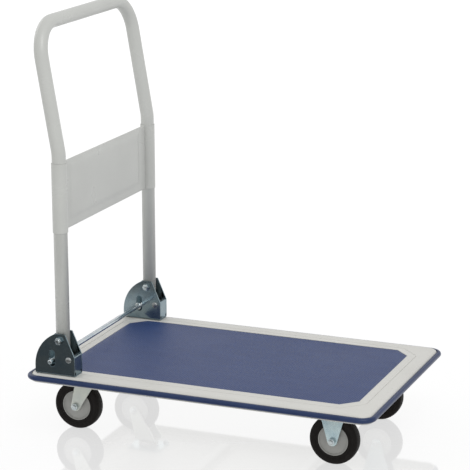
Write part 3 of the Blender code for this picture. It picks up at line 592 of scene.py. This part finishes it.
bracket = {"peak": 0.0125, "sheet": 0.0025, "half": 0.01625, "bend": 0.0030, "arcX": 0.0203, "arcZ": 0.01673,
           "arc": 0.0755, "slotHalf": 0.0065, "pinX": 0.0194, "pinDown": 0.0390, "pin": 0.005,
           "pinHead": 0.0064, "dome": 0.0019, "web": 0.0410, "pivotHole": 0.0043,
           "pinHole": 0.0053, "outside": 0.0178, "slotBack": 0.0174, "slotEnds": (0.0491, 0.0281)}
slotX = fold.x - bracket["slotBack"]
slotLow, slotHigh = (fold.z - down for down in bracket["slotEnds"])


def bracketPiece(side, sign):
    bm = bmesh.new()
    node = f"handle_bracket_{side}"
    low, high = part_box(node)
    middle, half, bend = sign * uprightY, bracket["half"], bracket["bend"]
    floor = low.z + bracket["sheet"] / 2
    bendTop, webTop = floor + bend, low.z + bracket["web"]
    pinAt = Vector((fold.x + bracket["pinX"], middle, fold.z - bracket["pinDown"]))
    centre = (fold.x + bracket["arcX"], low.z + bracket["arcZ"])
    start = math.degrees(math.asin((high.z - centre[1]) / bracket["arc"]))
    arc = arcPoints(centre, bracket["arc"], 180 - start, 180, 26)
    for face in (-1, 1):
        y = middle + face * half
        outline = [(fold.x + bracket["peak"], high.z), *arc, (arc[-1][0], bendTop), (high.x, bendTop),
                   (high.x, webTop)]
        verts, edges = drawLine(bm, [(x, y, z) for x, z in outline], close=True)
        rings = []
        for x, z, radius in ((fold.x, fold.z, bracket["pivotHole"]), (pinAt.x, pinAt.z, bracket["pinHole"]),
                             (slotX, slotLow, bracket["slotHalf"])):
            stand = Matrix.Translation((x, y, z)) @ Matrix.Rotation(math.radians(90), 4, "X")
            ring = bmesh.ops.create_circle(bm, cap_ends=False, radius=radius, segments=32,
                                           matrix=stand)["verts"]
            rings += list({e for v in ring for e in v.link_edges})
            if radius == bracket["slotHalf"]:
                upper = [v for v in ring if v.co.z > slotLow + 1e-5]
                bmesh.ops.translate(bm, vec=alongZ * (slotHigh - slotLow), verts=upper)
        fillOutline(bm, edges + rings)
    verts, edges = drawLine(bm, [(arc[-1][0], middle - half, bendTop), (high.x, middle - half, bendTop)])
    edges = swing(bm, edges, Vector((0, middle - half + bend, bendTop)), alongX, 90, 6)
    edges = pull(bm, edges, alongY * 2 * (half - bend))
    swing(bm, edges, Vector((0, middle + half - bend, floor + bend)), alongX, 90, 6)
    inside = half - bracket["sheet"] / 2 - 0.0006
    front = high.x - bracket["sheet"] / 2
    relief = 0.0035
    _, edges = drawLine(bm, [(front - bend, middle - inside + relief, floor),
                             (front - bend, middle + inside - relief, floor)])
    edges = swing(bm, edges, Vector((front - bend, 0, floor + bend)), -alongY, 90, 6)
    edges = pull(bm, edges, alongZ * 0.004)
    web = pull(bm, edges, alongZ * 0.001)
    for vert in {v for e in web for v in e.verts}:
        vert.co.y = middle + (inside if vert.co.y > middle else -inside)
    web = pull(bm, web, alongZ * (webTop - 0.0022 - floor - bend - 0.005))
    swing(bm, web, Vector((front - 0.0022, 0, webTop - 0.0022)), -alongY, 60, 4)
    makePiece(f"handleBracket_{side}", bm, shadedBracketZinc, "platform", [node], sheet=bracket["sheet"],
              bevel=0.00035, sharpAbove=38)


def rivetPiece(name, place, reach, node):
    # a round bar with a domed head beyond each plate
    radius, head = bracket["pin"], bracket["pinHead"]
    bm = bmesh.new()
    angles = [math.radians(15 * i) for i in range(7)]
    dome = [(head * math.sin(a), reach + bracket["dome"] * math.cos(a)) for a in angles]
    half = [(radius, 0), (radius, reach), (head, reach), *reversed(dome[:-1])]
    profile = [(r, -along) for r, along in reversed(half[1:])] + half
    lathe(bm, profile, place, alongY, 32)
    makePiece(name, bm, rivetSteel, "platform", [node], sharpAbove=40)


def bracketSet(side, sign):
    bracketPiece(side, sign)
    y, plateHalf = sign * uprightY, bracket["outside"]
    out = alongY * sign
    pivotSeat = Vector((fold.x, y, fold.z)) - out * plateHalf
    boltPiece(f"pivotBolt_{side}", pivotSeat, out, 2 * plateHalf + bolts["nut"] + bolts["end"], "platform",
              f"pivot_bolt_{side}", pivotSeat + out * 2 * plateHalf)
    pinAt = Vector((fold.x + bracket["pinX"], y, fold.z - bracket["pinDown"]))
    rivetPiece(f"stopPin_{side}", pinAt, plateHalf, f"stop_pin_{side}")
    for end in ("front", "rear"):
        node = f"bracket_bolt_{end}_{side}"
        low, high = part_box(node)
        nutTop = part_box(f"bracket_nut_{end}_{side}")[1].z
        seat = Vector(((low.x + high.x) / 2, y, high.z - bolts["head"]))
        boltPiece(f"bracketBolt_{end}_{side}", seat, -alongZ, seat.z - low.z, "platform", node,
                  Vector((seat.x, y, nutTop)), thread=0.018 if end == "rear" else 0.010)


# Lock bar with a collar inside each bracket

lockBar = {"radius": 0.0045, "recess": 0.0021, "deep": 0.0010, "collar": 0.0075}


def lockBarPieces():
    low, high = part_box("lock_bar")
    centre = (low + high) / 2
    reach, radius = high.y, lockBar["radius"]
    recess, deep = lockBar["recess"], lockBar["deep"]
    end = [(0, reach - deep), (recess, reach - deep), (recess + 0.0004, reach),
           (radius - 0.0009, reach), (radius - 0.0003, reach - 0.0004), (radius, reach - 0.0010)]
    bm = bmesh.new()
    lathe(bm, end + [(r, -along) for r, along in reversed(end)], Vector((centre.x, 0, centre.z)), alongY, 32)
    makePiece("lockBar", bm, barZinc, "lock_bar", ["lock_bar"], sharpAbove=40)
    for side in sides:
        low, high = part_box(f"bar_collar_{side}")
        bore, outer, half = radius + 0.0002, lockBar["collar"], (high.y - low.y) / 2
        profile = [(bore, -half), (outer - 0.0006, -half), (outer, -half + 0.0006), (outer, half - 0.0006),
                   (outer - 0.0006, half), (bore, half)]
        bm = bmesh.new()
        lathe(bm, profile, Vector((centre.x, (low.y + high.y) / 2, centre.z)), alongY, 36, close=True)
        makePiece(f"barCollar_{side}", bm, boltZinc, "lock_bar", [f"bar_collar_{side}"],
                  sharpAbove=40)


for side, sign in sides.items():
    bracketSet(side, sign)
lockBarPieces()
print("brackets and lock bar made")


# Casters and wheels

fork = {"fixedHalf": 0.032, "swivelHalf": 0.024, "trail": 0.027, "sheet": 0.0025, "half": 0.01675,
        "bend": 0.0040, "end": 0.0100, "rib": 0.0013, "ribIn": 0.0065, "outside": 0.0183}
casterPlate = {"sheet": 0.0025, "corner": 0.007, "boltX": 0.0300, "boltY": 0.0252, "flats": 0.0050}
wheelSize = {"radius": 0.050, "half": 0.013, "hub": 0.0310, "shoulder": 0.0055, "crown": 0.0004}


def forkSheet(bm, centre, halfX, crown, axle):
    # two ribbed legs that fold into a crown: crown is the middle of its sheet
    bend, half, end = fork["bend"], fork["half"], fork["end"]
    top = crown - bend
    for face in (-1, 1):
        y = centre.y + face * half
        outline = [(centre.x + halfX, top)]
        angles = []
        for x, turn in ((halfX, 1), (-halfX, -1)):
            reach = Vector((centre.x + x - axle.x, top - axle.z))
            angles.append(math.degrees(math.atan2(reach.y, reach.x) - turn * math.acos(end / reach.length)))
        last = angles[1] - 360 if angles[1] > 0 else angles[1]
        outline += arcPoints((axle.x, axle.z), end, angles[0], last, 24) + [(centre.x - halfX, top)]
        verts, _ = drawLine(bm, [(x, y, z) for x, z in outline], close=True)
        leg = bm.faces.new(verts)
        leg.normal_update()
        outward = fork["rib"] if leg.normal.y * face > 0 else -fork["rib"]
        bmesh.ops.inset_region(bm, faces=[leg], thickness=fork["ribIn"], depth=outward, use_even_offset=True)
    near = centre.y - half
    _, edges = drawLine(bm, [(centre.x - halfX, near, top), (centre.x + halfX, near, top)])
    edges = swing(bm, edges, Vector((0, centre.y - half + bend, top)), -alongX, 90, 8)
    edges = pull(bm, edges, alongY * 2 * (half - bend))
    swing(bm, edges, Vector((0, centre.y + half - bend, top)), -alongX, 90, 8)


def mountingPlate(bm, centre, halfX, halfY, z):
    corner = casterPlate["corner"]
    outline = []
    for i, (sx, sy) in enumerate([(1, 1), (-1, 1), (-1, -1), (1, -1)]):
        outline += arcPoints((centre.x + sx * (halfX - corner), centre.y + sy * (halfY - corner)), corner,
                             90 * i, 90 * i + 90, 8)
    _, edges = drawLine(bm, [(x, y, z) for x, y in outline], close=True)
    for sx in (-1, 1):
        for sy in (-1, 1):
            at = Matrix.Translation((centre.x + sx * casterPlate["boltX"],
                                     centre.y + sy * casterPlate["boltY"], z))
            ring = bmesh.ops.create_circle(bm, cap_ends=False, radius=0.0035, segments=20, matrix=at)["verts"]
            far = [v for v in ring if v.co.x > at.translation.x + 1e-5]
            bmesh.ops.translate(bm, vec=alongX * 0.003, verts=far)
            bmesh.ops.translate(bm, vec=-alongX * 0.0015, verts=ring)
            edges += list({e for v in ring for e in v.link_edges})
    fillOutline(bm, edges)


def plateBolts(name, centre, seat, body):
    bm = bmesh.new()
    for sx in (-1, 1):
        for sy in (-1, 1):
            at = Vector((centre.x + sx * casterPlate["boltX"], centre.y + sy * casterPlate["boltY"], seat))
            washer = [(0.003, 0), (0.0062, 0), (0.0065, -0.0003), (0.0065, -0.0009), (0.0062, -0.0012),
                      (0.003, -0.0012)]
            lathe(bm, washer, at, alongZ, 28, close=True)
            hexBlock(bm, at - alongZ * 0.0013, -alongZ, casterPlate["flats"], 0.0038)
    makePiece(name, bm, boltZinc, body, sharpAbove=40)


def axlePieces(label, place, sign, body):
    out, outside = alongY * sign, fork["outside"]
    seat = place - out * outside
    grip = 2 * outside + bolts["nut"] + bolts["end"]
    boltPiece(f"axleBolt_{label}", seat, out, grip, body, f"axle_bolt_{label}", seat + out * 2 * outside)


def wheelPieces(label, place, body):
    half, radius, hub, bulge = (wheelSize[key] for key in ("half", "radius", "hub", "shoulder"))
    inner = hub + 0.0003
    crown = wheelSize["crown"]
    shoulder = arcPoints((half - bulge, radius - crown - bulge), bulge, 0, 78, 7)
    side = [(inner, half - 0.0010), (inner + 0.0012, half - 0.0002), (inner + 0.0028, half - 0.0002),
            (inner + 0.0036, half - 0.0009), (inner + 0.0060, half - 0.0009), (inner + 0.0068, half - 0.0001)]
    side += [(r, along) for along, r in shoulder] + [(radius - crown * 0.4, 0.005), (radius - 0.0001, 0.0006),
                                                     (radius, 0.0003)]
    profile = side + [(r, -along) for r, along in reversed(side)]
    bm = bmesh.new()
    lathe(bm, profile, place, alongY, 128, close=True)
    makePiece(f"tyre_{label}", bm, tyreRubber(label, place), body, [f"tyre_{label}"], sharpAbove=45)
    low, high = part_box(f"hub_{label}")
    barrel, face, bore = (high.y - low.y) / 2, half - 0.0030, 0.0064
    side = [(bore, barrel - 0.0004), (bore + 0.0004, barrel), (0.0104, barrel), (0.0110, barrel - 0.0006),
            (0.0116, face + 0.0014), (0.0122, face + 0.0004), (0.0134, face), (0.0245, face - 0.0004),
            (0.0272, face - 0.0001), (0.0282, face + 0.0006), (0.0289, half - 0.0008),
            (0.0294, half - 0.0004), (hub - 0.0003, half - 0.0004), (hub, half - 0.0008)]
    profile = side + [(r, -along) for r, along in reversed(side)]
    bm = bmesh.new()
    lathe(bm, profile, place, alongY, 96, close=True)
    makePiece(f"hub_{label}", bm, hubPlastic(label, place), body, [f"hub_{label}"], sharpAbove=28)


def fixedCaster(side, sign):
    node = f"fixed_fork_{side}"
    low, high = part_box(node)
    label = f"front_{side}"
    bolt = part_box(f"axle_bolt_{label}")
    axle = Vector(((bolt[0].x + bolt[1].x) / 2, (low.y + high.y) / 2, wheelSize["radius"]))
    centre = Vector((axle.x, axle.y, 0))
    plateZ = high.z - casterPlate["sheet"] / 2
    bm = bmesh.new()
    forkSheet(bm, centre, fork["fixedHalf"], plateZ - casterPlate["sheet"] - 0.00005, axle)
    mountingPlate(bm, centre, 0.038, 0.032, plateZ)
    makePiece(f"fixedFork_{side}", bm, forkZinc, "platform", [node], sheet=fork["sheet"],
              bevel=0.0004, sharpAbove=38)
    plateBolts(f"plateBolts_{label}", centre, high.z - casterPlate["sheet"], "platform")
    axlePieces(label, axle, sign, "platform")
    wheelPieces(label, axle, f"wheel_{label}")


def bearing(side, centre):
    # two raceway cups with a row of balls between them
    low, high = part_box(f"swivel_bearing_{side}")
    radius, middle, tall = high.x - centre.x, (low.z + high.z) / 2, (high.z - low.z) / 2
    bm = bmesh.new()
    for turn in (-1, 1):
        groove = [(radius - 0.0045 + 0.0013 * math.cos(a), turn * (0.0006 + 0.0011 * (1 - math.sin(a))))
                  for a in (math.radians(30 * i) for i in range(7))]
        profile = [(0.0145, tall * turn), (0.0145, 0.0006 * turn), *reversed(groove),
                   (radius - 0.0005, 0.0006 * turn), (radius, 0.0012 * turn), (radius, 0.0030 * turn),
                   (radius - 0.0016, 0.0046 * turn), (radius - 0.0018, tall * turn)]
        lathe(bm, profile, Vector((*centre.xy, middle)), alongZ, 56, close=True)
    makePiece(f"bearingRaces_{side}", bm, raceSteel, "platform", [f"swivel_bearing_{side}"],
              sharpAbove=35)
    bm = bmesh.new()
    for i in range(24):
        turn = Matrix.Rotation(math.radians(15 * i), 4, "Z")
        at = Matrix.Translation((*centre.xy, middle)) @ turn @ Matrix.Translation((radius - 0.0045, 0, 0))
        bmesh.ops.create_uvsphere(bm, u_segments=10, v_segments=6, radius=0.0015, matrix=at)
    makePiece(f"bearingBalls_{side}", bm, ballSteel, "platform")


def swivelCaster(side, sign):
    label, body = f"rear_{side}", f"swivel_{side}"
    low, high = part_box(f"swivel_plate_{side}")
    centre = Vector(((low.x + high.x) / 2, (low.y + high.y) / 2, 0))
    bm = bmesh.new()
    mountingPlate(bm, centre, (high.x - low.x) / 2, (high.y - low.y) / 2, (low.z + high.z) / 2)
    makePiece(f"swivelPlate_{side}", bm, forkZinc, "platform", [f"swivel_plate_{side}"],
              sheet=casterPlate["sheet"], bevel=0.0003)
    plateBolts(f"plateBolts_{label}", centre, low.z, "platform")
    bearing(side, centre)
    axle = Vector((centre.x - fork["trail"], centre.y, wheelSize["radius"]))
    bm = bmesh.new()
    forkSheet(bm, centre, fork["swivelHalf"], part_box(f"swivel_fork_{side}")[1].z - fork["sheet"] / 2, axle)
    makePiece(f"swivelFork_{side}", bm, dullZinc, body, [f"swivel_fork_{side}"], sheet=fork["sheet"],
              bevel=0.0004, sharpAbove=38)
    axlePieces(label, axle, sign, body)
    wheelPieces(label, axle, f"wheel_{label}")


for side, sign in sides.items():
    fixedCaster(side, sign)
    swivelCaster(side, sign)
print("casters and wheels made")


# Plain CAD nodes that keep their shape

keptFinish = {"axle_sleeve": raceSteel, "kingpin": raceSteel}
for nodeName, node in frame["nodes"].items():
    for start, finish in keptFinish.items():
        if nodeName.startswith(start):
            node.data.materials.clear()
            node.data.materials.append(finish)
            node.data.shade_smooth()
            node.data.set_sharp_from_angle(angle=math.radians(35))


# Floor, light and camera

studio = {"world": 0.86, "floorGlow": 0.665, "floorWhite": 0.12, "floorRough": 0.05, "flagDark": 0.012,
          "flagPlace": (-0.55, -1.06, 0.002), "flagSize": (1.5, 1.3),
          "key": 26, "fill": 7}


def stagePlane(name, centre, lengthX, lengthY, finish):
    bm = bmesh.new()
    bmesh.ops.create_grid(bm, x_segments=1, y_segments=1, size=0.5)
    bmesh.ops.scale(bm, vec=(lengthX, lengthY, 1), verts=bm.verts)
    bmesh.ops.translate(bm, vec=centre, verts=bm.verts)
    mesh = bpy.data.meshes.new(name)
    bm.to_mesh(mesh)
    bm.free()
    mesh.materials.append(finish)
    plane = bpy.data.objects.new(name, mesh)
    bpy.context.scene.collection.objects.link(plane)
    return plane


def plainFinish(name, shade, rough, glow):
    return newFinish(name, {"Base Color": (shade, shade, shade, 1), "Roughness": rough, "IOR": 2.4,
                            "Emission Color": (1, 1, 1, 1), "Emission Strength": glow}, lambda place: {})


floorFinish = plainFinish("floorFinish", studio["floorWhite"], studio["floorRough"], studio["floorGlow"])
stagePlane("floor", (0, 0, -0.0002), 40, 40, floorFinish)

# a black card lies before the cart for the plating to mirror, and only its upper side is there
flagFinish = plainFinish("flagFinish", studio["flagDark"], 1, 0)
flagTree = flagFinish.node_tree
flagStart = Socket(flagTree)
under = flagStart.make("ShaderNodeNewGeometry", {}, {}, "Backfacing")
card = Socket(flagTree, flagTree.nodes["Principled BSDF"].outputs[0])
clear = flagStart.make("ShaderNodeBsdfTransparent", {}, {})
shown = flagStart.make("ShaderNodeMixShader", {}, {0: under, 1: card, 2: clear})
flagStart.feed(flagTree.nodes["Material Output"], "Surface", shown)
flag = stagePlane("darkFlag", studio["flagPlace"], *studio["flagSize"], flagFinish)
flag.visible_camera = flag.visible_diffuse = flag.visible_shadow = False


def areaLight(name, place, target, size, power):
    light = bpy.data.lights.new(name, "AREA")
    light.shape, light.size, light.energy = "SQUARE", size, power
    lamp = bpy.data.objects.new(name, light)
    lamp.location = place
    lamp.rotation_euler = (Vector(target) - Vector(place)).to_track_quat("-Z", "Y").to_euler()
    bpy.context.scene.collection.objects.link(lamp)


areaLight("keyLight", (1.2, -1.4, 2.6), (0, 0, 0.2), 1.6, studio["key"])
areaLight("fillLight", (-2.2, 0.6, 1.6), (-0.2, 0, 0.4), 1.4, studio["fill"])

world = bpy.data.worlds.new("whiteStudio")
world.use_nodes = True
backdrop = world.node_tree.nodes["Background"]
backdrop.inputs["Color"].default_value = (1, 1, 1, 1)
backdrop.inputs["Strength"].default_value = studio["world"]
bpy.context.scene.world = world
bpy.context.scene.view_settings.view_transform = "Standard"

view = {"place": (1.4931, -3.6705, 1.4319), "turn": 22.067, "down": 14.443, "roll": -0.135, "lens": 155.35}
camera = bpy.data.cameras.new("camera")
camera.lens, camera.sensor_width = view["lens"], 36
camera.shift_x, camera.shift_y = -0.0097, -0.0092
viewpoint = bpy.data.objects.new("camera", camera)
aim = (Matrix.Rotation(math.radians(view["turn"]), 4, "Z")
       @ Matrix.Rotation(math.radians(90 - view["down"]), 4, "X")
       @ Matrix.Rotation(math.radians(view["roll"]), 4, "Z"))
viewpoint.matrix_world = Matrix.Translation(view["place"]) @ aim
bpy.context.scene.collection.objects.link(viewpoint)
bpy.context.scene.camera = viewpoint
print("stage set")

bpy.context.view_layer.update()
